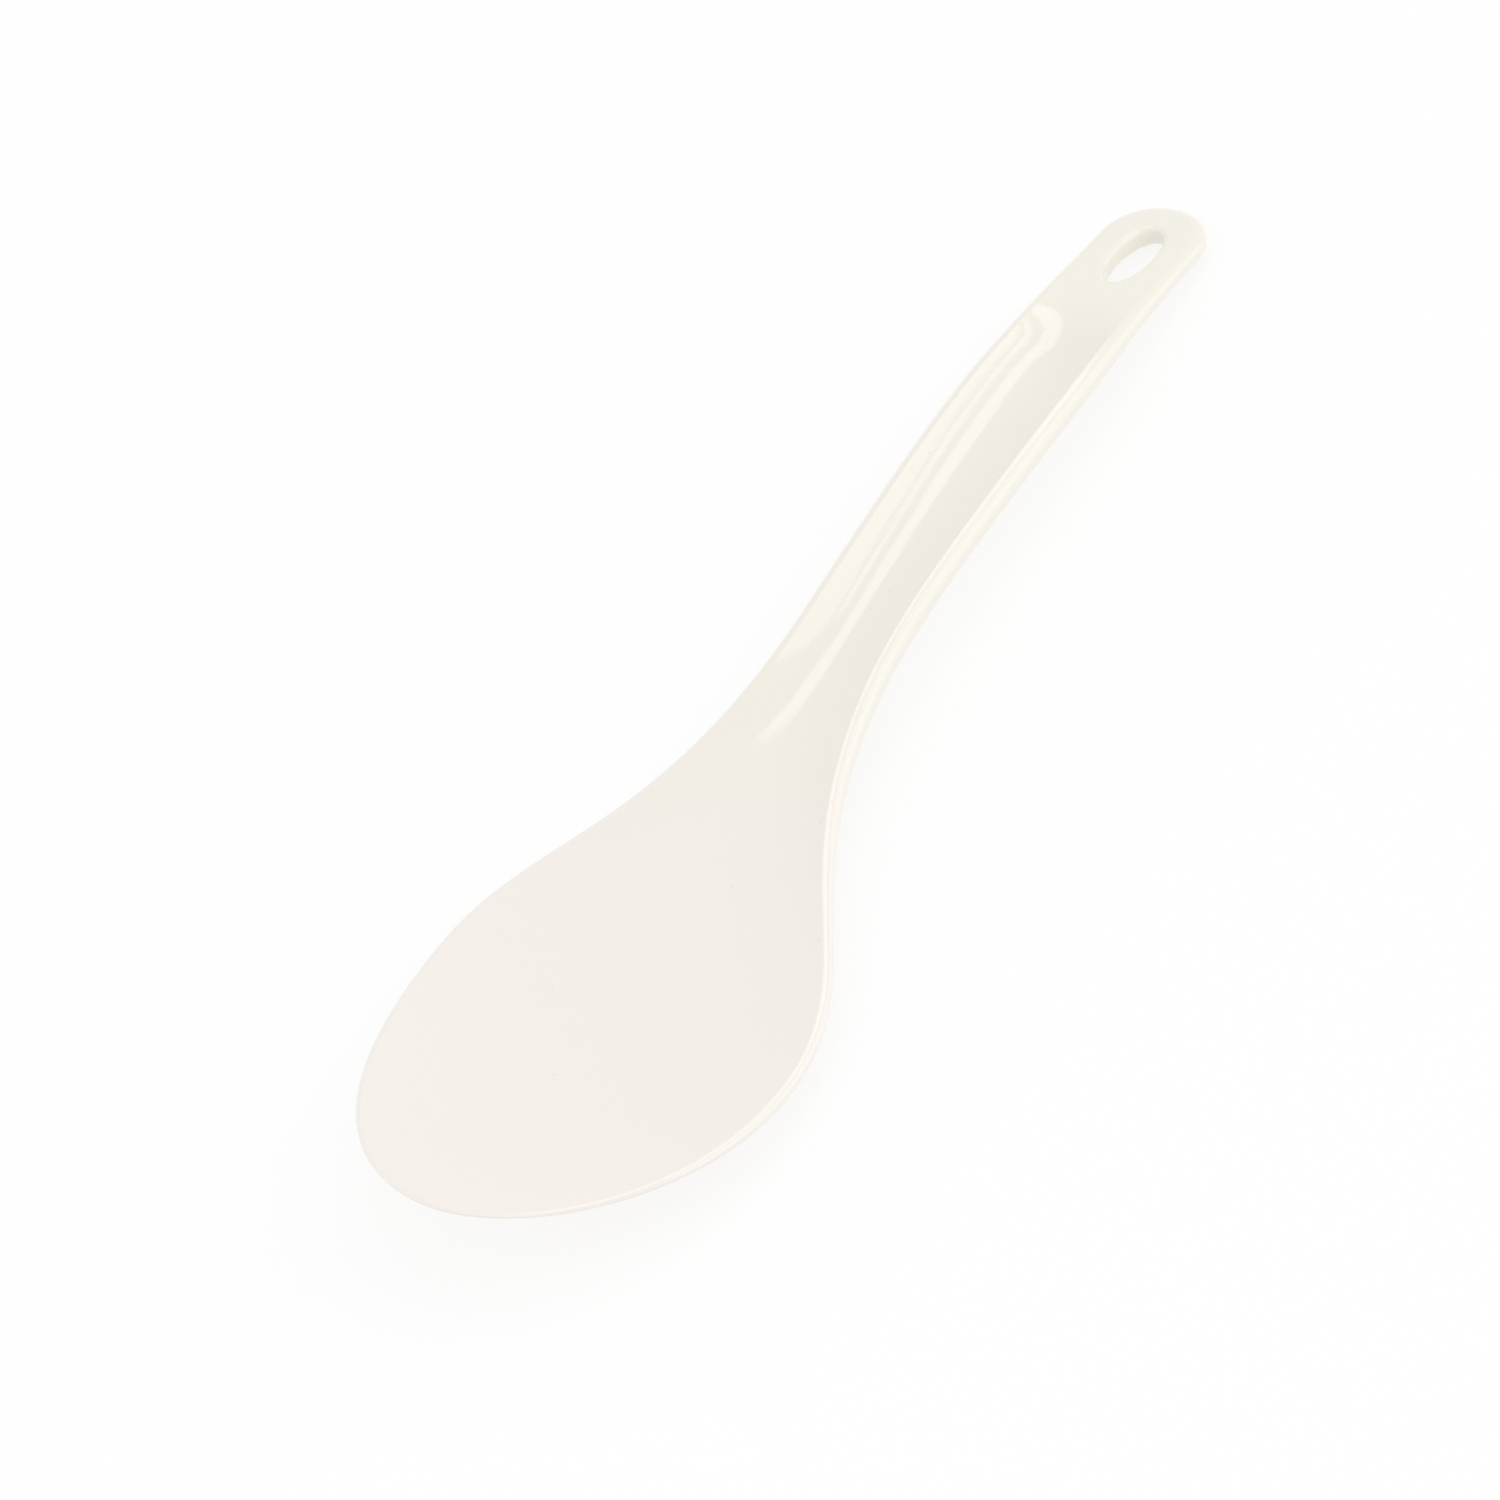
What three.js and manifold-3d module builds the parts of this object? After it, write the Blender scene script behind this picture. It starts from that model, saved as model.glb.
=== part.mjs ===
// Rice paddle: one ivory moulding with a dished blade, a troughed handle and a tab with an oval hanging hole.
// Millimetres, +Z up. The paddle lies face up on its belly and on the end of its handle, along +X.
// The origin is on the table, under the middle of the paddle.
import * as THREE from 'three';
import Module from 'manifold-3d';

// Lengths along the paddle, in order from the blade's tip to the end of the handle
const TIP_TO_WIDEST = 42;
const WIDEST_TO_NECK = 77;
const NECK_TO_GRIP = 43;
const GRIP_TO_TAB = 25.5;
const TROUGH_TO_HOLE = 2.9;
const HOLE_LENGTH = 13.6;
const HOLE_TO_END = 6;

// Full widths of the outline
const BLADE_WIDTH = 67;
const NECK_WIDTH = 19;
const GRIP_WIDTH = 20.4;
const TAB_WIDTH = 17.8;

// Fullness of the outline's curves: the share of a stretch that runs on straight before it turns
const TIP_FULLNESS = 0.53;
const BLADE_FULLNESS = 0.55;
const SHOULDER_FULLNESS = 0.33;
const NECK_FULLNESS = 0.62;
const HANDLE_FULLNESS = 0.4;
const END_SIDE_FULLNESS = 0.4;
const END_FACE_FULLNESS = 0.68;
const END_ROUND_LENGTH = 8.5;

// Side view: heights of the rim above the table, and its slopes at the tip and along the tab
const TIP_HEIGHT = 18.1;
const LOW_RIM_HEIGHT = 6.9;
const ARCH_HEIGHT = 13;
const TAB_HEIGHT = 7.98;
const LOW_RIM_PAST_WIDEST = 6;
const ARCH_PAST_NECK = 9;
const TIP_SLOPE_DEGREES = 20.3;
const TAB_SLOPE_DEGREES = 11.6;

// Section: the hollow of the face, and the material under it
const DISH_DEPTH = 3;
const TROUGH_DEPTH = 3.6;
const TROUGH_END_RAMP = 14.5;
const TIP_THICKNESS = 1.6;
const BLADE_THICKNESS = 3.9;
const HANDLE_THICKNESS = 2.5;
const TAB_THICKNESS = 3.6;
const TAB_UNDERSIDE_RAMP = 4.5;

// Section: the rounded rim from the face's crest out to the widest line, and its lean at the crest
const TIP_RIM_INSET = 0.8;
const TIP_RIM_DROP = 0.6;
const BLADE_RIM_INSET = 1.2;
const BLADE_RIM_DROP = 0.9;
const HANDLE_RIM_INSET = 2.1;
const HANDLE_RIM_DROP = 1.9;
const TAB_RIM_INSET = 1.6;
const TAB_RIM_DROP = 1.3;
const RIM_LEAN_DEGREES = 25;

// Section: the rounding under the widest line, measured across
const HANDLE_HEEL = 7.5;
const TAB_HEEL = 2;
const BELLY_FLAT_SHARE = 0.06;

// Hanging hole: an oval through the tab, with its rims rounded
const HOLE_WIDTH = 6.4;
const HOLE_RIM_RADIUS = 1.2;
const HOLE_RIM_WALL_SHARE = 0.45;
const HOLE_CORE_OVERRUN = 2;

// Finish
const IVORY = '#f0ece2';
const GLOSS_ROUGHNESS = 0.22;

// Fineness of the mesh
const TIP_STEPS = 14;
const SHOULDER_STEPS = 20;
const HANDLE_STEPS = 8;
const END_STEPS = 7;
const FACE_STEPS = 9;
const RIM_STEPS = 4;
const UNDERSIDE_STEPS = 7;
const HOLE_STEPS = 40;
const HOLE_RIM_STEPS = 4;
const HOLE_RIM_SWEEP_DEGREES = 76;

// Places along the length, from the tip
const widest = TIP_TO_WIDEST;
const neck = widest + WIDEST_TO_NECK;
const grip = neck + NECK_TO_GRIP;
const tab = grip + GRIP_TO_TAB;
const end = tab + TROUGH_TO_HOLE + HOLE_LENGTH + HOLE_TO_END;
const lowRim = widest + LOW_RIM_PAST_WIDEST;
const arch = neck + ARCH_PAST_NECK;
const troughEnd = tab - TROUGH_END_RAMP;
const thinTab = tab + TAB_UNDERSIDE_RAMP;
const hole = end - HOLE_TO_END - HOLE_LENGTH / 2;
const tipSlope = -Math.tan(THREE.MathUtils.degToRad(TIP_SLOPE_DEGREES));
const tabTilt = THREE.MathUtils.degToRad(TAB_SLOPE_DEGREES);
const tabSlope = -Math.tan(tabTilt);
const rimLean = THREE.MathUtils.degToRad(RIM_LEAN_DEGREES);

const wasm = await Module();
wasm.setup();

// A value along the length that eases from each knot [place, value] to the next
function eased(...knots) {
  return (x) => {
    const next = knots.findIndex(([place]) => place > x);
    if (next === 0) return knots[0][1];
    if (next < 0) return knots[knots.length - 1][1];
    const [startPlace, startValue] = knots[next - 1];
    const [finishPlace, finishValue] = knots[next];
    const share = THREE.MathUtils.smoothstep(x, startPlace, finishPlace);
    return THREE.MathUtils.lerp(startValue, finishValue, share);
  };
}

// A height between two knots [place, height, slope], leaving and arriving at the knots' slopes
function bend([startPlace, startHeight, startSlope], [finishPlace, finishHeight, finishSlope], x) {
  const third = (finishPlace - startPlace) / 3;
  const heights = new THREE.CubicBezierCurve(
    new THREE.Vector2(startPlace, startHeight),
    new THREE.Vector2(startPlace + third, startHeight + startSlope * third),
    new THREE.Vector2(finishPlace - third, finishHeight - finishSlope * third),
    new THREE.Vector2(finishPlace, finishHeight),
  );
  return heights.getPoint((x - startPlace) / (finishPlace - startPlace)).y;
}

// Height of the rim's crest: down from the lifted tip, up over the handle's arch, and straight along the tab
function crestHeight(x) {
  const knots = [
    [0, TIP_HEIGHT, tipSlope],
    [lowRim, LOW_RIM_HEIGHT, 0],
    [arch, ARCH_HEIGHT, 0],
    [tab, TAB_HEIGHT, tabSlope],
    [end, TAB_HEIGHT + tabSlope * (end - tab), tabSlope],
  ];
  const next = Math.max(1, knots.findIndex(([place]) => place >= x));
  return bend(knots[next - 1], knots[next], x);
}

// The section's measures along the length
const hollowDepth = eased(
  [0, 0],
  [widest, DISH_DEPTH],
  [neck, TROUGH_DEPTH],
  [troughEnd, TROUGH_DEPTH],
  [tab, 0],
);
const bodyDepth = eased(
  [0, TIP_THICKNESS],
  [widest, DISH_DEPTH + BLADE_THICKNESS],
  [neck, TROUGH_DEPTH + HANDLE_THICKNESS],
  [troughEnd, TROUGH_DEPTH + HANDLE_THICKNESS],
  [thinTab, TAB_THICKNESS / Math.cos(tabTilt)],
);
const rimInset = eased(
  [0, TIP_RIM_INSET],
  [widest, BLADE_RIM_INSET],
  [neck, HANDLE_RIM_INSET],
  [troughEnd, HANDLE_RIM_INSET],
  [thinTab, TAB_RIM_INSET],
);
const rimDrop = eased(
  [0, TIP_RIM_DROP],
  [widest, BLADE_RIM_DROP],
  [neck, HANDLE_RIM_DROP],
  [troughEnd, HANDLE_RIM_DROP],
  [thinTab, TAB_RIM_DROP],
);
const heelWidth = eased(
  [widest, BLADE_WIDTH / 2],
  [neck, HANDLE_HEEL],
  [troughEnd, HANDLE_HEEL],
  [thinTab, TAB_HEEL],
);

// Share of the full section left near the two ends, so that the rim's rounding carries on round them
function endShare(x) {
  const reach = Math.min(x / TIP_RIM_INSET, (end - x) / TAB_RIM_INSET, 1);
  return Math.sqrt(1 - (1 - reach) ** 2);
}

// Half outline seen from above, from the tip to the end of the handle: x is the place, y the half width
function halfOutline() {
  const endRound = end - END_ROUND_LENGTH;
  const bladeHalf = BLADE_WIDTH / 2;
  const neckHalf = NECK_WIDTH / 2;
  const gripHalf = GRIP_WIDTH / 2;
  const tabHalf = TAB_WIDTH / 2;
  const stretches = [
    [
      [0, 0],
      [0, TIP_FULLNESS * bladeHalf],
      [widest - BLADE_FULLNESS * TIP_TO_WIDEST, bladeHalf],
      [widest, bladeHalf],
      TIP_STEPS,
    ],
    level([widest, bladeHalf], [neck, neckHalf], SHOULDER_FULLNESS, NECK_FULLNESS, SHOULDER_STEPS),
    level([neck, neckHalf], [grip, gripHalf], HANDLE_FULLNESS, HANDLE_FULLNESS, HANDLE_STEPS),
    level([grip, gripHalf], [endRound, tabHalf], HANDLE_FULLNESS, HANDLE_FULLNESS, HANDLE_STEPS),
    [
      [endRound, tabHalf],
      [endRound + END_SIDE_FULLNESS * END_ROUND_LENGTH, tabHalf],
      [end, END_FACE_FULLNESS * tabHalf],
      [end, 0],
      END_STEPS,
    ],
  ];
  return stretches.flatMap(([start, leave, arrive, finish, steps]) => {
    const corners = [start, leave, arrive, finish].map(([x, y]) => new THREE.Vector2(x, y));
    return new THREE.CubicBezierCurve(...corners).getPoints(steps).slice(1);
  }).slice(0, -1);
}

// A stretch of the outline that leaves and arrives along the paddle
function level(start, finish, startFullness, finishFullness, steps) {
  const span = finish[0] - start[0];
  const leave = [start[0] + startFullness * span, start[1]];
  const arrive = [finish[0] - finishFullness * span, finish[1]];
  return [start, leave, arrive, finish, steps];
}

// Depth of the face below the crest, at a distance from the centre line
function faceDepth(x, y, crestHalf) {
  return hollowDepth(x) * (1 - (y / crestHalf) ** 2);
}

// Half section: [y, z] from the middle of the face, round the rim, to the middle of the underside
function halfSection(x, halfWidth) {
  const share = endShare(x);
  const inset = Math.min(rimInset(x), halfWidth / 2);
  const heel = Math.min(heelWidth(x), halfWidth * (1 - BELLY_FLAT_SHARE));
  const crestHalf = halfWidth - inset;
  const widestLine = crestHeight(x) - rimDrop(x);
  const rise = rimDrop(x) * share;
  const fall = (bodyDepth(x) - rimDrop(x)) * share;
  const points = [];
  for (let step = 0; step <= FACE_STEPS; step += 1) {
    const y = crestHalf * step / FACE_STEPS;
    points.push([y, widestLine + rise - faceDepth(x, y, crestHalf) * share]);
  }
  for (let step = 1; step <= RIM_STEPS; step += 1) {
    const turn = THREE.MathUtils.lerp(rimLean, Math.PI / 2, step / RIM_STEPS);
    const out = (Math.sin(turn) - Math.sin(rimLean)) / (1 - Math.sin(rimLean));
    const up = Math.cos(turn) / Math.cos(rimLean);
    points.push([crestHalf + inset * out, widestLine + rise * up]);
  }
  for (let step = 1; step <= UNDERSIDE_STEPS; step += 1) {
    const turn = Math.PI / 2 * step / UNDERSIDE_STEPS;
    points.push([halfWidth - heel + heel * Math.cos(turn), widestLine - fall * Math.sin(turn)]);
  }
  points.push([0, widestLine - fall]);
  return points;
}

// The whole section as a ring: down one side and back up the other
function sectionRing({ x, y: halfWidth }) {
  const half = halfSection(x, halfWidth);
  const down = half.map(([y, z]) => new THREE.Vector3(x, y, z));
  const up = half.slice(1, -1).reverse().map(([y, z]) => new THREE.Vector3(x, -y, z));
  return [...down, ...up];
}

// A closed skin from a start point over a run of rings to a finish point
function loft(start, rings, finish) {
  const count = rings[0].length;
  const points = [start, ...rings.flat(), finish];
  const corner = (ring, step) => 1 + ring * count + (step % count);
  const triangles = [];
  for (let step = 0; step < count; step += 1) {
    triangles.push(0, corner(0, step), corner(0, step + 1));
    for (let ring = 1; ring < rings.length; ring += 1) {
      triangles.push(corner(ring - 1, step), corner(ring, step), corner(ring - 1, step + 1));
      triangles.push(corner(ring - 1, step + 1), corner(ring, step), corner(ring, step + 1));
    }
    triangles.push(points.length - 1, corner(rings.length - 1, step + 1), corner(rings.length - 1, step));
  }
  return new THREE.BufferGeometry().setFromPoints(points).setIndex(triangles);
}

// Blade, neck, handle and tab, before the hole
function mouldingGeometry() {
  const tipPoint = new THREE.Vector3(0, 0, crestHeight(0) - TIP_RIM_DROP);
  const endPoint = new THREE.Vector3(end, 0, crestHeight(end) - TAB_RIM_DROP);
  return loft(tipPoint, halfOutline().map(sectionRing), endPoint);
}

// Core of the hanging hole, square to the tab, flaring out at both faces to round the hole's rims
function holeGeometry() {
  const rimRadius = Math.min(HOLE_RIM_RADIUS, TAB_THICKNESS * HOLE_RIM_WALL_SHARE);
  const levels = [];
  for (let step = 0; step <= HOLE_RIM_STEPS; step += 1) {
    const turn = THREE.MathUtils.degToRad(HOLE_RIM_SWEEP_DEGREES) * step / HOLE_RIM_STEPS;
    levels.push([rimRadius * (1 - Math.cos(turn)), rimRadius * (Math.sin(turn) - 1)]);
  }
  const flare = levels[levels.length - 1][0];
  levels.push([flare, HOLE_CORE_OVERRUN]);
  const lower = levels.map(([grow, height]) => [grow, -TAB_THICKNESS - height]).reverse();
  const oval = ([grow, height]) => Array.from({ length: HOLE_STEPS }, (_, step) => {
    const turn = -2 * Math.PI * step / HOLE_STEPS;
    const along = (HOLE_LENGTH / 2 + grow) * Math.cos(turn);
    const across = (HOLE_WIDTH / 2 + grow) * Math.sin(turn);
    return new THREE.Vector3(along, across, height);
  });
  const bottom = new THREE.Vector3(0, 0, -TAB_THICKNESS - HOLE_CORE_OVERRUN);
  const top = new THREE.Vector3(0, 0, HOLE_CORE_OVERRUN);
  const core = loft(bottom, [...lower, ...levels].map(oval), top);
  core.rotateY(tabTilt);
  return core.translate(hole, 0, crestHeight(hole));
}

// A geometry as a solid that can be cut
function solidOf(geometry) {
  const vertProperties = geometry.getAttribute('position').array;
  const triVerts = Uint32Array.from(geometry.getIndex().array);
  return new wasm.Manifold(new wasm.Mesh({ numProp: 3, vertProperties, triVerts }));
}

// A cut solid as a geometry again
function geometryOf(solid) {
  const mesh = solid.getMesh();
  const geometry = new THREE.BufferGeometry();
  geometry.setAttribute('position', new THREE.BufferAttribute(mesh.vertProperties, 3));
  geometry.setIndex(new THREE.BufferAttribute(mesh.triVerts, 1));
  return geometry;
}

// The finished moulding, standing on the table with its middle over the origin
function paddle() {
  const geometry = geometryOf(solidOf(mouldingGeometry()).subtract(solidOf(holeGeometry())));
  geometry.computeBoundingBox();
  geometry.translate(-end / 2, 0, -geometry.boundingBox.min.z);
  geometry.computeVertexNormals();
  const ivory = new THREE.MeshStandardMaterial({ color: IVORY, roughness: GLOSS_ROUGHNESS, metalness: 0 });
  const mesh = new THREE.Mesh(geometry, ivory);
  mesh.name = 'paddle';
  return mesh;
}

const ricePaddle = new THREE.Group();
ricePaddle.add(paddle());

export default ricePaddle;
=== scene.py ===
"""Rice paddle: one glossy ivory moulding, lying face up on a pale studio floor."""

import bisect
import math

import bmesh
import bpy
from mathutils import Matrix, Vector
from mathutils.geometry import interpolate_bezier
from mathutils.kdtree import KDTree


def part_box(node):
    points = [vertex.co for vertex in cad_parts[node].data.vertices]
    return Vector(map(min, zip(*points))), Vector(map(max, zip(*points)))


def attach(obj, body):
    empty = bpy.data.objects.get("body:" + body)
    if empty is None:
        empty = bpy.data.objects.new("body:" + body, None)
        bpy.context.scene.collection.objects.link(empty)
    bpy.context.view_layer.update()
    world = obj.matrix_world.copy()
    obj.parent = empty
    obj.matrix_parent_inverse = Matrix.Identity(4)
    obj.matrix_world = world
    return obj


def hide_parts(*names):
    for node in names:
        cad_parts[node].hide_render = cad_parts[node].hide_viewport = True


MM = 0.001

# Places along the paddle, in millimetres from the blade's tip
WIDEST = 42
NECK = 119
GRIP = 162
TAB = 187.5
END = 210
LOW_RIM = 48
ARCH = 128
TROUGH_END = 173
THIN_TAB = 192
END_ROUND = 201.5
HOLE = 197.2

# Half widths of the outline, and the fullness of its curves
BLADE_HALF = 33.5
NECK_HALF = 9.5
GRIP_HALF = 10.2
TAB_HALF = 8.9
TIP_FULLNESS = 0.53
BLADE_FULLNESS = 0.55
SHOULDER_FULLNESS = 0.33
NECK_FULLNESS = 0.62
HANDLE_FULLNESS = 0.4
END_SIDE_FULLNESS = 0.4
END_FACE_FULLNESS = 0.68

# Side view: heights of the rim and its slopes
TIP_HEIGHT = 18.1
LOW_RIM_HEIGHT = 6.9
ARCH_HEIGHT = 13
TAB_HEIGHT = 7.98
TIP_SLOPE = -math.tan(math.radians(20.3))
TAB_TILT = math.radians(11.6)
TAB_SLOPE = -math.tan(TAB_TILT)

# Hollow of the face, and the material under it
DISH_DEPTH = 3
TROUGH_DEPTH = 3.6
TIP_THICKNESS = 1.6
BLADE_THICKNESS = 3.9
HANDLE_THICKNESS = 2.5
TAB_THICKNESS = 3.6
DEEPEST_BODY = DISH_DEPTH + BLADE_THICKNESS

# Rounded rim: how far in and how far down it goes, its lean at the crest, and the heel under it
TIP_RIM = (0.8, 0.6)
BLADE_RIM = (1.2, 0.9)
HANDLE_RIM = (2.1, 1.9)
TAB_RIM = (1.6, 1.3)
RIM_LEAN = math.radians(25)
HANDLE_HEEL = 7.5
TAB_HEEL = 2
HEEL_SHARE = 0.94

# Hanging hole: an oval through the tab
HOLE_LENGTH = 13.6
HOLE_WIDTH = 6.4
HOLE_RIM_RADIUS = 1.2
HOLE_COLLAR = 1.8

# Camera: where it looks, in millimetres, and from where
LOOK_AT = (-10.28, 10.03, 1.6)
CAMERA_DISTANCE = 900
CAMERA_AZIMUTH = -127.46
CAMERA_ELEVATION = 47
CAMERA_ROLL = -26.29
CAMERA_LENS = 144.4
CAMERA_SENSOR = 36

# Finish: linear colours, gloss, and where, in metres, the blade's tone starts and ends its change to
# the handle's; the blade's lighter tone and the handle's darker one are partly real tint and partly
# painted light and shade for light falling off towards the handle's end
LIT_BLADE_IVORY = (0.88, 0.836, 0.785, 1)
SHADED_HANDLE_IVORY = (0.87, 0.837, 0.757, 1)
SPECK_TAN = (0.82, 0.765, 0.7, 1)
RESIN_IOR = 1.7
SHINIEST = 0.07
DULLEST = 0.11
TONE_START = -0.045
TONE_FINISH = 0.005

# Patterns in the finish: how fine each one is, and how strong
CLOUD_SCALE = 30
CLOUD_DRIFT = 0.35
SPECK_SCALE = 300
SPECK_CORE = 0.05
SPECK_EDGE = 0.09
SPECK_RARITY = 0.74
HAZE_SCALE = 60
LINE_SCALE = 1500
LINE_STRETCH = (0.012, 1, 0)
LINE_DEPTH = 0.00002

# Studio: the floor, in metres, its glow for light and for what is seen, and the light from all round
FLOOR_WHITE = (0.95, 0.95, 0.95, 1)
FLOOR_SIZE = 6
FLOOR_GLOW = 0.8
FLOOR_GLOW_SEEN = 0.7
ROOM_LIGHT = 0.85
ROOM_WHITE = 1

# Height of the lamps overhead, in metres, and their turn, in degrees
OVERHEAD_HEIGHT = 2
OVERHEAD_TURN = -21

# Fineness of the mesh
CURVE_STEPS = 400
OUTLINE_STEPS = 32
RIM_STEPS = (0.03, 0.05, 0.08, 0.12, 0.16, 0.2, *(0.14,) * 14)
ROW_FACES = 40
COLLAR_CUTS = 6
HOLE_RIM_SEGMENTS = 6

# What counts as inside the outline, as on a line and as one point, in metres
INSIDE = MM
ON_LINE = MM / 100
ONE_POINT = MM / 200


def eased(place, *knots):
    """A value that eases from each knot (place, value) to the next along the paddle."""
    if place <= knots[0][0]:
        return knots[0][1]
    for (start, first), (finish, last) in zip(knots, knots[1:]):
        if place < finish:
            share = (place - start) / (finish - start)
            return first + (last - first) * share * share * (3 - 2 * share)
    return knots[-1][1]


def bezier_run(start, leave, arrive, finish, steps):
    """Points along one stretch of a curve, given by its ends and handles."""
    corners = [Vector((x, y, 0)) for x, y in (start, leave, arrive, finish)]
    return interpolate_bezier(*corners, steps)


def side_profile():
    """The rim seen from the side, as (place, height) points close together."""
    knots = (
        (0, TIP_HEIGHT, TIP_SLOPE),
        (LOW_RIM, LOW_RIM_HEIGHT, 0),
        (ARCH, ARCH_HEIGHT, 0),
        (TAB, TAB_HEIGHT, TAB_SLOPE),
        (END, TAB_HEIGHT + TAB_SLOPE * (END - TAB), TAB_SLOPE),
    )
    points = []
    for (start, low, leave), (finish, high, arrive) in zip(knots, knots[1:]):
        third = (finish - start) / 3
        leave_handle = (start + third, low + leave * third)
        arrive_handle = (finish - third, high - arrive * third)
        points += bezier_run((start, low), leave_handle, arrive_handle, (finish, high), CURVE_STEPS)
    return points


def outline_knots():
    """One side of the outline from above, tip to end: (arriving handle, point, leaving handle)."""
    shoulder = NECK - WIDEST
    handle = GRIP - NECK
    tab = END_ROUND - GRIP
    end = END - END_ROUND
    return (
        ((0, -TIP_FULLNESS * BLADE_HALF), (0, 0), (0, TIP_FULLNESS * BLADE_HALF)),
        (
            (WIDEST - BLADE_FULLNESS * WIDEST, BLADE_HALF),
            (WIDEST, BLADE_HALF),
            (WIDEST + SHOULDER_FULLNESS * shoulder, BLADE_HALF),
        ),
        (
            (NECK - NECK_FULLNESS * shoulder, NECK_HALF),
            (NECK, NECK_HALF),
            (NECK + HANDLE_FULLNESS * handle, NECK_HALF),
        ),
        (
            (GRIP - HANDLE_FULLNESS * handle, GRIP_HALF),
            (GRIP, GRIP_HALF),
            (GRIP + HANDLE_FULLNESS * tab, GRIP_HALF),
        ),
        (
            (END_ROUND - HANDLE_FULLNESS * tab, TAB_HALF),
            (END_ROUND, TAB_HALF),
            (END_ROUND + END_SIDE_FULLNESS * end, TAB_HALF),
        ),
        ((END, END_FACE_FULLNESS * TAB_HALF), (END, 0), (END, -END_FACE_FULLNESS * TAB_HALF)),
    )


def half_outline():
    """One side of the outline as (place, half width) points close together."""
    knots = outline_knots()
    points = []
    for (_, start, leave), (arrive, finish, _) in zip(knots, knots[1:]):
        points += bezier_run(start, leave, arrive, finish, CURVE_STEPS)
    return points


class Measure:
    """A measure that changes along the paddle, read off a run of points."""

    def __init__(self, points):
        self.points = sorted((point.x, point.y) for point in points)
        self.places = [place for place, _ in self.points]

    def at(self, place):
        after = min(max(bisect.bisect(self.places, place), 1), len(self.places) - 1)
        start, first = self.points[after - 1]
        finish, last = self.points[after]
        if finish == start:
            return last
        share = min(max((place - start) / (finish - start), 0), 1)
        return first + (last - first) * share


CREST = Measure(side_profile())
HALF_WIDTH = Measure(half_outline())


def rim(place, part):
    """How far in (part 0) or down (part 1) the rim's rounding goes."""
    return eased(
        place,
        (0, TIP_RIM[part]),
        (WIDEST, BLADE_RIM[part]),
        (NECK, HANDLE_RIM[part]),
        (TROUGH_END, HANDLE_RIM[part]),
        (THIN_TAB, TAB_RIM[part]),
    )


def body_depth(place):
    """Height from the underside to the rim's crest."""
    return eased(
        place,
        (0, TIP_THICKNESS),
        (WIDEST, DEEPEST_BODY),
        (NECK, TROUGH_DEPTH + HANDLE_THICKNESS),
        (TROUGH_END, TROUGH_DEPTH + HANDLE_THICKNESS),
        (THIN_TAB, TAB_THICKNESS / math.cos(TAB_TILT)),
    )


def heel_width(place):
    """How far in the rounding under the widest line goes."""
    heel = eased(
        place,
        (WIDEST, BLADE_HALF),
        (NECK, HANDLE_HEEL),
        (TROUGH_END, HANDLE_HEEL),
        (THIN_TAB, TAB_HEEL),
    )
    return min(heel, HALF_WIDTH.at(place) * HEEL_SHARE)


def round_share(run):
    """Height of a quarter round after a run from its edge, both as shares."""
    return math.sqrt(1 - (1 - min(max(run, 0), 1)) ** 2)


# Share of each press at a point: its place along, its distance off the centre line and to the edge


def crest_share(place, off, edge):
    return CREST.at(place) / TIP_HEIGHT


def rim_share(place, off, edge):
    lean = math.sin(RIM_LEAN)
    turn = math.asin(lean + (1 - lean) * (1 - min(edge / rim(place, 0), 1)))
    return rim(place, 1) * (1 - math.cos(turn) / math.cos(RIM_LEAN)) / HANDLE_RIM[1]


def hollow_share(place, off, edge):
    crest_half = HALF_WIDTH.at(place) - rim(place, 0)
    if off >= crest_half:
        return 0
    dish = DISH_DEPTH / TROUGH_DEPTH
    depth = eased(place, (0, 0), (WIDEST, dish), (NECK, 1), (TROUGH_END, 1), (TAB, 0))
    return depth * (1 - (off / crest_half) ** 2)


def edge_share(place, off, edge):
    return rim(place, 1) / HANDLE_RIM[1]


def belly_share(place, off, edge):
    if edge == 0:
        return 0
    run = (HALF_WIDTH.at(place) - off) / heel_width(place)
    ends = min(round_share(place / TIP_RIM[0]), round_share((END - place) / TAB_RIM[0]))
    return (body_depth(place) - rim(place, 1)) * ends * round_share(run) / DEEPEST_BODY


def choose(piece, wanted):
    """Select, in edit mode, the vertices that the wanted test picks, with the edges between them."""
    bpy.ops.mesh.select_all(action="DESELECT")
    cage = bmesh.from_edit_mesh(piece.data)
    for vertex in cage.verts:
        vertex.select_set(wanted(vertex))
    cage.select_flush(True)
    bmesh.update_edit_mesh(piece.data)


def is_open(vertex):
    """True for a vertex on a free edge of the sheet."""
    return any(len(edge.link_faces) < 2 for edge in vertex.link_edges)


def outline_curve(name):
    """The outline as a flat closed curve."""
    bpy.ops.object.select_all(action="DESELECT")
    bpy.ops.curve.primitive_bezier_circle_add(radius=BLADE_HALF * MM)
    outline = bpy.context.object
    outline.name = name
    outline.data.resolution_u = OUTLINE_STEPS
    one_side = outline_knots()
    other_side = [
        tuple((x, -y) for x, y in reversed(knot))
        for knot in reversed(one_side[1:-1])
    ]
    knots = [*one_side, *other_side]
    spline = outline.data.splines[0]
    spline.bezier_points.add(len(knots) - len(spline.bezier_points))
    for point, (arrive, place, leave) in zip(spline.bezier_points, knots):
        point.handle_left_type = "FREE"
        point.handle_right_type = "FREE"
        point.co = Vector((*place, 0)) * MM
        point.handle_left = Vector((*arrive, 0)) * MM
        point.handle_right = Vector((*leave, 0)) * MM
    return outline


def nearest_edge(sheet):
    """A function that gives a point's distance to the sheet's outline."""
    tree = KDTree(len(sheet.data.vertices))
    for vertex in sheet.data.vertices:
        tree.insert(vertex.co, vertex.index)
    tree.balance()
    return lambda point: tree.find(Vector((point.x, point.y, 0)))[2]


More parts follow.
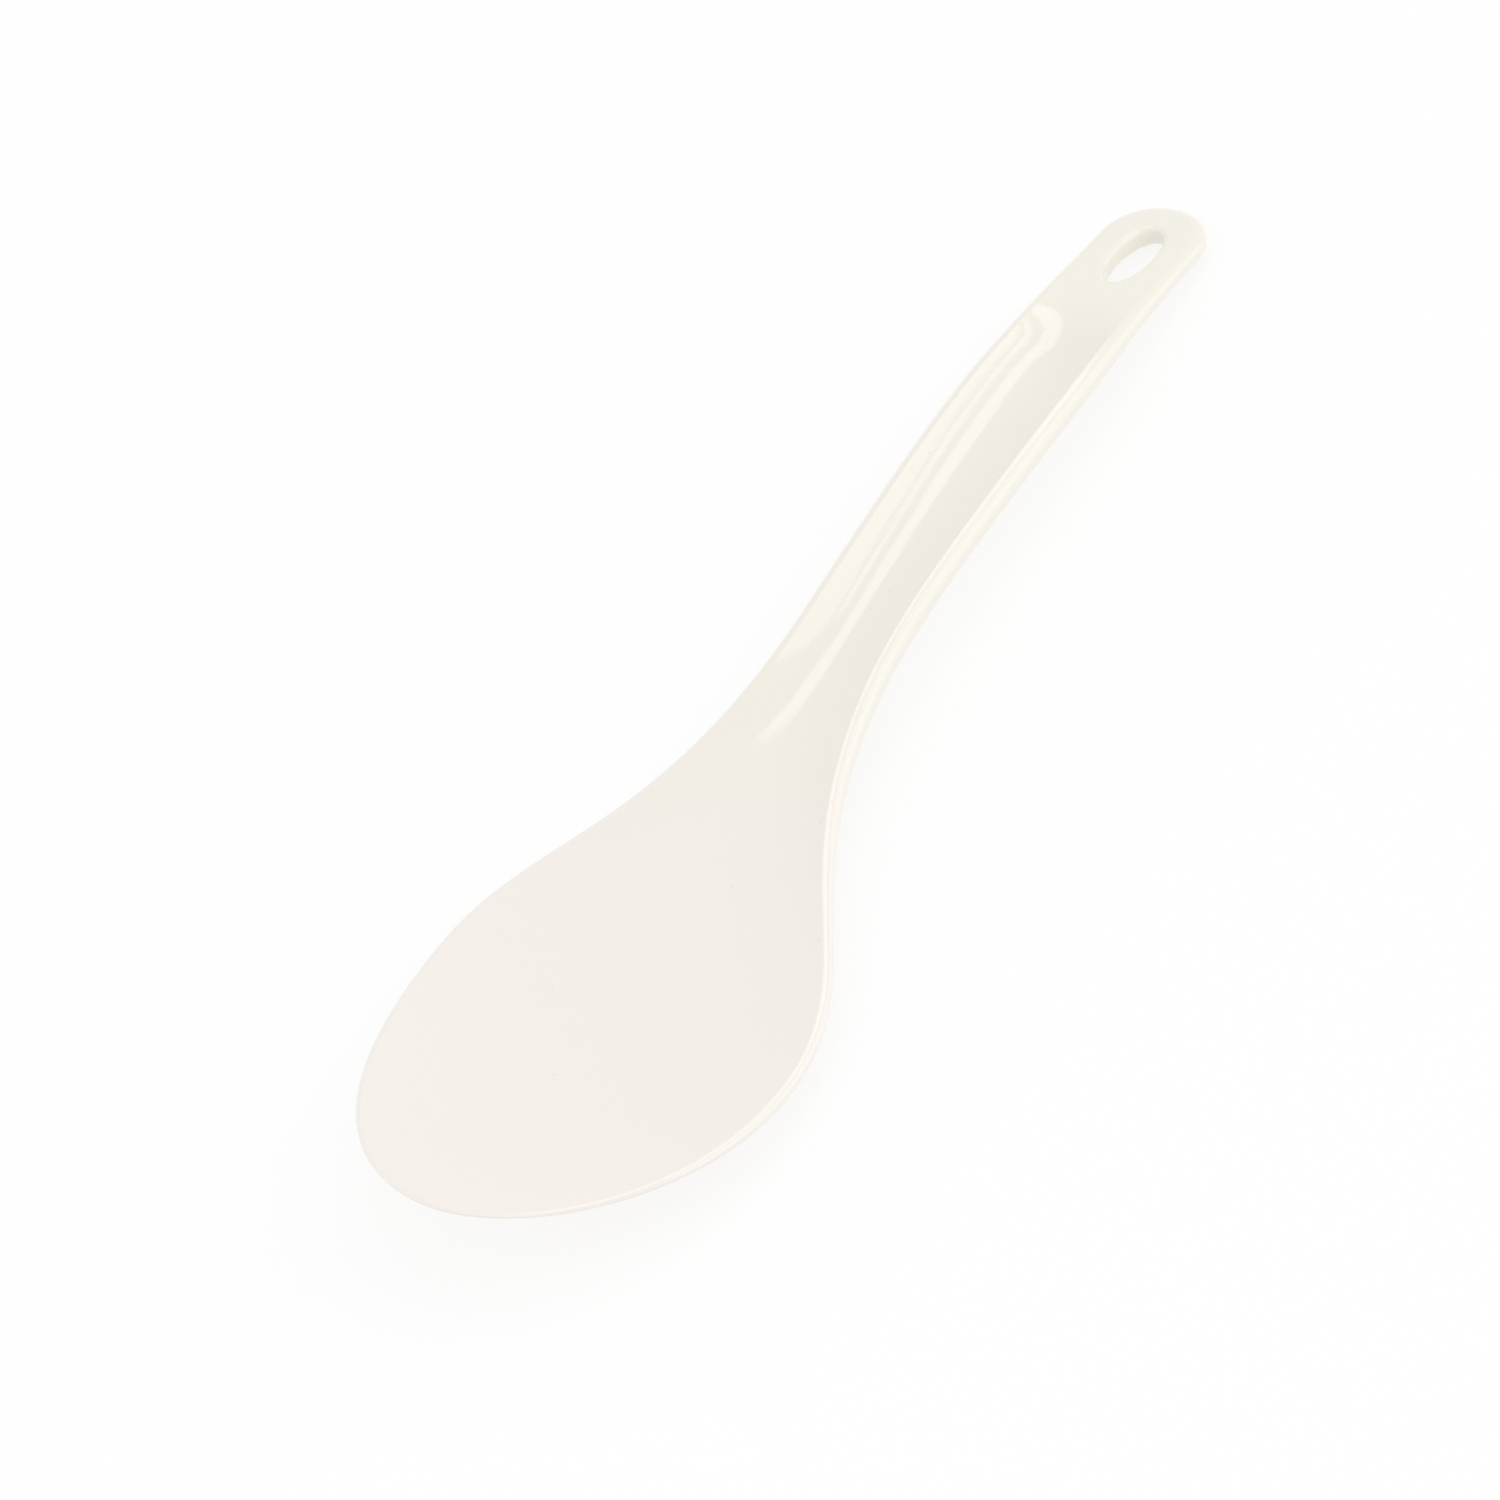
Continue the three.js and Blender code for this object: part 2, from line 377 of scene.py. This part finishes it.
def flat_sheet(name, hole_place):
    """A flat sheet in the paddle's outline, with rim loops, rows across and a collar round the hole.

    It comes with a function that gives a point's distance to the outline."""
    outline_curve(name)
    bpy.ops.object.convert(target="MESH")
    sheet = bpy.context.object
    to_edge = nearest_edge(sheet)

    def is_inner(vertex):
        return is_open(vertex) and to_edge(vertex.co) > INSIDE

    bpy.ops.object.mode_set(mode="EDIT")
    bpy.ops.mesh.select_mode(type="VERT")
    bpy.ops.mesh.select_all(action="SELECT")
    bpy.ops.mesh.edge_face_add()
    for step in RIM_STEPS:
        bpy.ops.mesh.inset(thickness=step * MM, depth=0, use_even_offset=True)
    bpy.ops.mesh.delete(type="ONLY_FACE")

    # A line of edges across where the tab starts
    cage = bmesh.from_edit_mesh(sheet.data)
    inner = [vertex for vertex in cage.verts if is_inner(vertex)]
    left = min((v for v in inner if v.co.y > 0), key=lambda v: abs(v.co.x - TAB * MM))
    right = min((v for v in inner if v.co.y < 0), key=lambda v: abs(v.co.x - left.co.x))
    line = left.co.x
    choose(sheet, lambda vertex: vertex in (left, right))
    bpy.ops.mesh.edge_face_add()
    bpy.ops.mesh.subdivide(number_cuts=ROW_FACES - 1)

    # Rows of faces from the tip to that line, counted from its right end
    choose(sheet, lambda vertex: is_inner(vertex) and vertex.co.x < line + ON_LINE)
    cage = bmesh.from_edit_mesh(sheet.data)
    row = [vertex for vertex in cage.verts if vertex.select and vertex.co.x > line - ON_LINE]
    row_end = min(row, key=lambda v: v.co.y)
    cage.select_history.clear()
    cage.select_history.add(row_end)
    bpy.ops.mesh.fill_grid(span=ROW_FACES)

    # A collar of faces from the tab's rim to an oval, and a step in from there to the hole's edge
    choose(sheet, is_inner)
    around = sheet.data.total_vert_sel
    long_half = HOLE_LENGTH / 2 * math.cos(TAB_TILT) * MM
    wide_half = HOLE_WIDTH / 2 * MM
    collar = HOLE_COLLAR * MM
    bpy.ops.mesh.primitive_circle_add(vertices=around, radius=1)
    bpy.ops.transform.resize(value=(long_half + collar, wide_half + collar, 1))
    bpy.ops.transform.translate(value=(hole_place * MM, 0, collar))
    choose(sheet, is_inner)
    bpy.ops.mesh.bridge_edge_loops(number_cuts=COLLAR_CUTS, interpolation="LINEAR")
    bpy.ops.mesh.select_all(action="SELECT")
    bpy.ops.transform.resize(value=(1, 1, 0), center_override=(0, 0, 0))
    choose(sheet, is_inner)
    bpy.ops.mesh.extrude_edges_move()
    bpy.ops.transform.resize(
        value=(long_half / (long_half + collar), wide_half / (wide_half + collar), 1),
        center_override=(hole_place * MM, 0, 0),
    )
    bpy.ops.object.mode_set(mode="OBJECT")
    return sheet, to_edge


def press(sheet, to_edge, name, depth, share):
    """Move a sheet up or down by a depth, each vertex by its own share of it."""
    group = sheet.vertex_groups.new(name=name)
    for vertex in sheet.data.vertices:
        place = vertex.co.x / MM
        off = abs(vertex.co.y) / MM
        edge = to_edge(vertex.co) / MM
        group.add([vertex.index], share(place, off, edge), "REPLACE")
    dent = sheet.modifiers.new(name, "DISPLACE")
    dent.direction = "Z"
    dent.mid_level = 0
    dent.strength = depth * MM
    dent.vertex_group = name
    bpy.ops.object.modifier_apply(modifier=name)


def paddle_moulding():
    """The moulding: a pressed face and a pressed back, joined at the outline and through the hole."""
    back_shift = TAB_THICKNESS * math.sin(TAB_TILT)
    back, to_edge = flat_sheet("back", HOLE - back_shift)
    press(back, to_edge, "crest", TIP_HEIGHT, crest_share)
    press(back, to_edge, "edge", -HANDLE_RIM[1], edge_share)
    press(back, to_edge, "belly", -DEEPEST_BODY, belly_share)
    face, to_edge = flat_sheet("moulding", HOLE)
    press(face, to_edge, "crest", TIP_HEIGHT, crest_share)
    press(face, to_edge, "rim", -HANDLE_RIM[1], rim_share)
    press(face, to_edge, "hollow", -TROUGH_DEPTH, hollow_share)
    back.select_set(True)
    bpy.ops.object.join()
    moulding = bpy.context.object
    bpy.ops.object.mode_set(mode="EDIT")
    bpy.ops.mesh.select_all(action="SELECT")
    bpy.ops.mesh.remove_doubles(threshold=ONE_POINT)
    bpy.ops.mesh.normals_make_consistent(inside=False)
    choose(moulding, is_open)
    bpy.ops.mesh.bridge_edge_loops()
    bpy.ops.mesh.region_to_loop()
    bpy.ops.mesh.bevel(
        offset=HOLE_RIM_RADIUS * MM,
        segments=HOLE_RIM_SEGMENTS,
        profile=0.5,
        affect="EDGES",
    )
    bpy.ops.mesh.select_all(action="SELECT")
    heights = [vertex.co.z for vertex in bmesh.from_edit_mesh(moulding.data).verts]
    solid_low, solid_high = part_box("paddle")
    fit = (solid_high.z - solid_low.z) / (max(heights) - min(heights))
    bpy.ops.transform.translate(value=(-END / 2 * MM, 0, solid_low.z - min(heights)))
    bpy.ops.transform.resize(value=(1, 1, fit), center_override=(0, 0, solid_low.z))
    bpy.ops.object.mode_set(mode="OBJECT")
    bpy.ops.object.shade_smooth()
    return moulding


def ivory_gloss():
    """Glossy ivory resin: warmer up the handle, lighter on the blade and darker up the handle as
    painted light and shade for light falling off, with a few specks and fine polishing lines.
    """
    material = bpy.data.materials.new("ivory_gloss")
    material.use_nodes = True
    nodes = material.node_tree.nodes
    links = material.node_tree.links
    skin = nodes["Principled BSDF"]
    skin.inputs["IOR"].default_value = RESIN_IOR
    places = nodes.new("ShaderNodeTexCoord")

    # Tone: from the blade's ivory to the handle's, with cloudy edges; part of this change, the blade
    # lighter and the handle darker, is painted light and shade for light falling off towards the
    # handle's end
    axes = nodes.new("ShaderNodeSeparateXYZ")
    links.new(places.outputs["Object"], axes.inputs["Vector"])
    along = nodes.new("ShaderNodeMapRange")
    along.interpolation_type = "SMOOTHSTEP"
    along.inputs["From Min"].default_value = TONE_START
    along.inputs["From Max"].default_value = TONE_FINISH
    links.new(axes.outputs["X"], along.inputs["Value"])
    clouds = nodes.new("ShaderNodeTexNoise")
    clouds.inputs["Scale"].default_value = CLOUD_SCALE
    clouds.inputs["Detail"].default_value = 3
    links.new(places.outputs["Object"], clouds.inputs["Vector"])
    drift = nodes.new("ShaderNodeMapRange")
    drift.inputs["To Min"].default_value = -CLOUD_DRIFT
    drift.inputs["To Max"].default_value = CLOUD_DRIFT
    links.new(clouds.outputs["Fac"], drift.inputs["Value"])
    tint_and_falloff_shade = nodes.new("ShaderNodeMath")
    tint_and_falloff_shade.operation = "ADD"
    links.new(along.outputs["Result"], tint_and_falloff_shade.inputs[0])
    links.new(drift.outputs["Result"], tint_and_falloff_shade.inputs[1])
    tone = nodes.new("ShaderNodeValToRGB")
    tone.color_ramp.elements[0].color = LIT_BLADE_IVORY
    tone.color_ramp.elements[1].color = SHADED_HANDLE_IVORY
    links.new(tint_and_falloff_shade.outputs["Value"], tone.inputs["Fac"])

    # Specks: the cores of a few cells
    cells = nodes.new("ShaderNodeTexVoronoi")
    cells.inputs["Scale"].default_value = SPECK_SCALE
    links.new(places.outputs["Object"], cells.inputs["Vector"])
    core = nodes.new("ShaderNodeMapRange")
    core.inputs["From Min"].default_value = SPECK_EDGE
    core.inputs["From Max"].default_value = SPECK_CORE
    links.new(cells.outputs["Distance"], core.inputs["Value"])
    few = nodes.new("ShaderNodeMath")
    few.operation = "GREATER_THAN"
    few.inputs[1].default_value = SPECK_RARITY
    links.new(cells.outputs["Color"], few.inputs[0])
    speck = nodes.new("ShaderNodeMath")
    speck.operation = "MULTIPLY"
    links.new(core.outputs["Result"], speck.inputs[0])
    links.new(few.outputs["Value"], speck.inputs[1])
    colour = nodes.new("ShaderNodeMix")
    colour.data_type = "RGBA"
    colour.inputs["B"].default_value = SPECK_TAN
    links.new(speck.outputs["Value"], colour.inputs["Factor"])
    links.new(tone.outputs["Color"], colour.inputs["A"])
    links.new(colour.outputs["Result"], skin.inputs["Base Color"])

    # Polish: a little duller in patches
    haze = nodes.new("ShaderNodeTexNoise")
    haze.inputs["Scale"].default_value = HAZE_SCALE
    haze.inputs["Detail"].default_value = 4
    links.new(places.outputs["Object"], haze.inputs["Vector"])
    polish = nodes.new("ShaderNodeMapRange")
    polish.inputs["To Min"].default_value = SHINIEST
    polish.inputs["To Max"].default_value = DULLEST
    links.new(haze.outputs["Fac"], polish.inputs["Value"])
    links.new(polish.outputs["Result"], skin.inputs["Roughness"])

    # Polishing lines: noise drawn out along the paddle
    drawn = nodes.new("ShaderNodeMapping")
    drawn.inputs["Scale"].default_value = LINE_STRETCH
    links.new(places.outputs["Object"], drawn.inputs["Vector"])
    lines = nodes.new("ShaderNodeTexNoise")
    lines.inputs["Scale"].default_value = LINE_SCALE
    lines.inputs["Detail"].default_value = 2
    links.new(drawn.outputs["Vector"], lines.inputs["Vector"])
    ripple = nodes.new("ShaderNodeBump")
    ripple.inputs["Distance"].default_value = LINE_DEPTH
    links.new(along.outputs["Result"], ripple.inputs["Strength"])
    links.new(lines.outputs["Fac"], ripple.inputs["Height"])
    links.new(ripple.outputs["Normal"], skin.inputs["Normal"])
    return material


def seen_rays(nodes, links):
    """The socket that is 1 for camera, reflected and transmitted rays, and 0 for the rest."""
    path = nodes.new("ShaderNodeLightPath")
    seen = path.outputs["Is Camera Ray"]
    for kind in ("Is Glossy Ray", "Is Transmission Ray"):
        either = nodes.new("ShaderNodeMath")
        either.operation = "MAXIMUM"
        links.new(seen, either.inputs[0])
        links.new(path.outputs[kind], either.inputs[1])
        seen = either.outputs["Value"]
    return seen


def pale_floor():
    """White floor that glows, a little less where it is seen, so that it still takes a shadow."""
    material = bpy.data.materials.new("pale_floor")
    material.use_nodes = True
    nodes = material.node_tree.nodes
    links = material.node_tree.links
    nodes.remove(nodes["Principled BSDF"])
    matt = nodes.new("ShaderNodeBsdfDiffuse")
    matt.inputs["Color"].default_value = FLOOR_WHITE
    glow = nodes.new("ShaderNodeEmission")
    glow.inputs["Strength"].default_value = 1
    share = nodes.new("ShaderNodeMapRange")
    share.inputs["To Min"].default_value = FLOOR_GLOW
    share.inputs["To Max"].default_value = FLOOR_GLOW_SEEN
    links.new(seen_rays(nodes, links), share.inputs["Value"])
    mix = nodes.new("ShaderNodeMixShader")
    links.new(share.outputs["Result"], mix.inputs["Fac"])
    links.new(matt.outputs["BSDF"], mix.inputs[1])
    links.new(glow.outputs["Emission"], mix.inputs[2])
    links.new(mix.outputs["Shader"], nodes["Material Output"].inputs["Surface"])
    return material


def studio_floor():
    """A wide pale floor under the paddle."""
    bpy.ops.object.select_all(action="DESELECT")
    bpy.ops.mesh.primitive_plane_add(size=FLOOR_SIZE)
    floor = bpy.context.object
    floor.name = "studio_floor"
    floor.data.materials.append(pale_floor())


def studio_world():
    """White all round for the camera and for reflections, and a soft grey light from everywhere."""
    world = bpy.data.worlds.new("studio_world")
    bpy.context.scene.world = world
    world.use_nodes = True
    nodes = world.node_tree.nodes
    links = world.node_tree.links
    soft = nodes["Background"]
    soft.inputs["Color"].default_value = (1, 1, 1, 1)
    soft.inputs["Strength"].default_value = ROOM_LIGHT
    white = nodes.new("ShaderNodeBackground")
    white.inputs["Strength"].default_value = ROOM_WHITE
    mix = nodes.new("ShaderNodeMixShader")
    links.new(seen_rays(nodes, links), mix.inputs["Fac"])
    links.new(soft.outputs["Background"], mix.inputs[1])
    links.new(white.outputs["Background"], mix.inputs[2])
    links.new(mix.outputs["Shader"], nodes["World Output"].inputs["Surface"])


def facing(azimuth, elevation):
    """The turn that brings straight up round to a direction, given in degrees."""
    turn = Matrix.Rotation(math.radians(azimuth + 90), 4, "Z")
    tilt = Matrix.Rotation(math.radians(90 - elevation), 4, "X")
    return turn @ tilt


def area_lamp(name, size, brightness):
    """A soft rectangular light, as bright to look at as so much white."""
    bpy.ops.object.select_all(action="DESELECT")
    bpy.ops.object.light_add(type="AREA")
    lamp = bpy.context.object
    lamp.name = name
    width, height = size
    lamp.data.shape = "RECTANGLE"
    lamp.data.size = width
    lamp.data.size_y = height
    lamp.data.energy = brightness * math.pi * width * height
    return lamp


def softbox(name, azimuth, elevation, distance, size, brightness):
    """A soft light that faces the paddle from a direction."""
    lamp = area_lamp(name, size, brightness)
    lamp.matrix_world = facing(azimuth, elevation) @ Matrix.Translation((0, 0, distance))


def overhead(name, place, size, brightness):
    """A soft light that hangs flat over the floor and shines straight down."""
    lamp = area_lamp(name, size, brightness)
    turn = Matrix.Rotation(math.radians(OVERHEAD_TURN), 4, "Z")
    lamp.matrix_world = Matrix.Translation((*place, OVERHEAD_HEIGHT)) @ turn


def photo_camera():
    """The camera at the photograph's angle."""
    bpy.ops.object.select_all(action="DESELECT")
    bpy.ops.object.camera_add()
    camera = bpy.context.object
    camera.data.lens = CAMERA_LENS
    camera.data.sensor_width = CAMERA_SENSOR
    target = Matrix.Translation(Vector(LOOK_AT) * MM)
    roll = Matrix.Rotation(math.radians(CAMERA_ROLL), 4, "Z")
    back = Matrix.Translation((0, 0, CAMERA_DISTANCE * MM))
    camera.matrix_world = target @ facing(CAMERA_AZIMUTH, CAMERA_ELEVATION) @ roll @ back
    bpy.context.scene.camera = camera


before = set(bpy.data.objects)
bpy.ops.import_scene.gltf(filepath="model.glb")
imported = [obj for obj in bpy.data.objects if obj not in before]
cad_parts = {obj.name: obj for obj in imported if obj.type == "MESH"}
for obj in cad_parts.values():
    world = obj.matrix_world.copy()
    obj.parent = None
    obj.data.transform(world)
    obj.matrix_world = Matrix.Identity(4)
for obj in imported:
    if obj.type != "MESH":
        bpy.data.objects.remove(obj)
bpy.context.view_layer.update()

moulding = paddle_moulding()
moulding.data.materials.append(ivory_gloss())
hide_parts("paddle")
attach(moulding, "root")

studio_floor()
studio_world()
overhead("window", (1.21, -0.05), (1.70, 0.66), 1.1)
overhead("strip", (1.71, -1.12), (2.00, 0.26), 0.9)
overhead("side", (1.36, -2.04), (2.00, 1.36), 0.8)
softbox("key", -55, 17, 2.5, (3.4, 1.6), 0.5)
softbox("near", 180, 63, 0.56, (0.35, 0.35), 0.45)
softbox("fill", 122, 20, 2.5, (2.8, 1.7), 0.35)
photo_camera()
bpy.context.scene.view_settings.view_transform = "Standard"
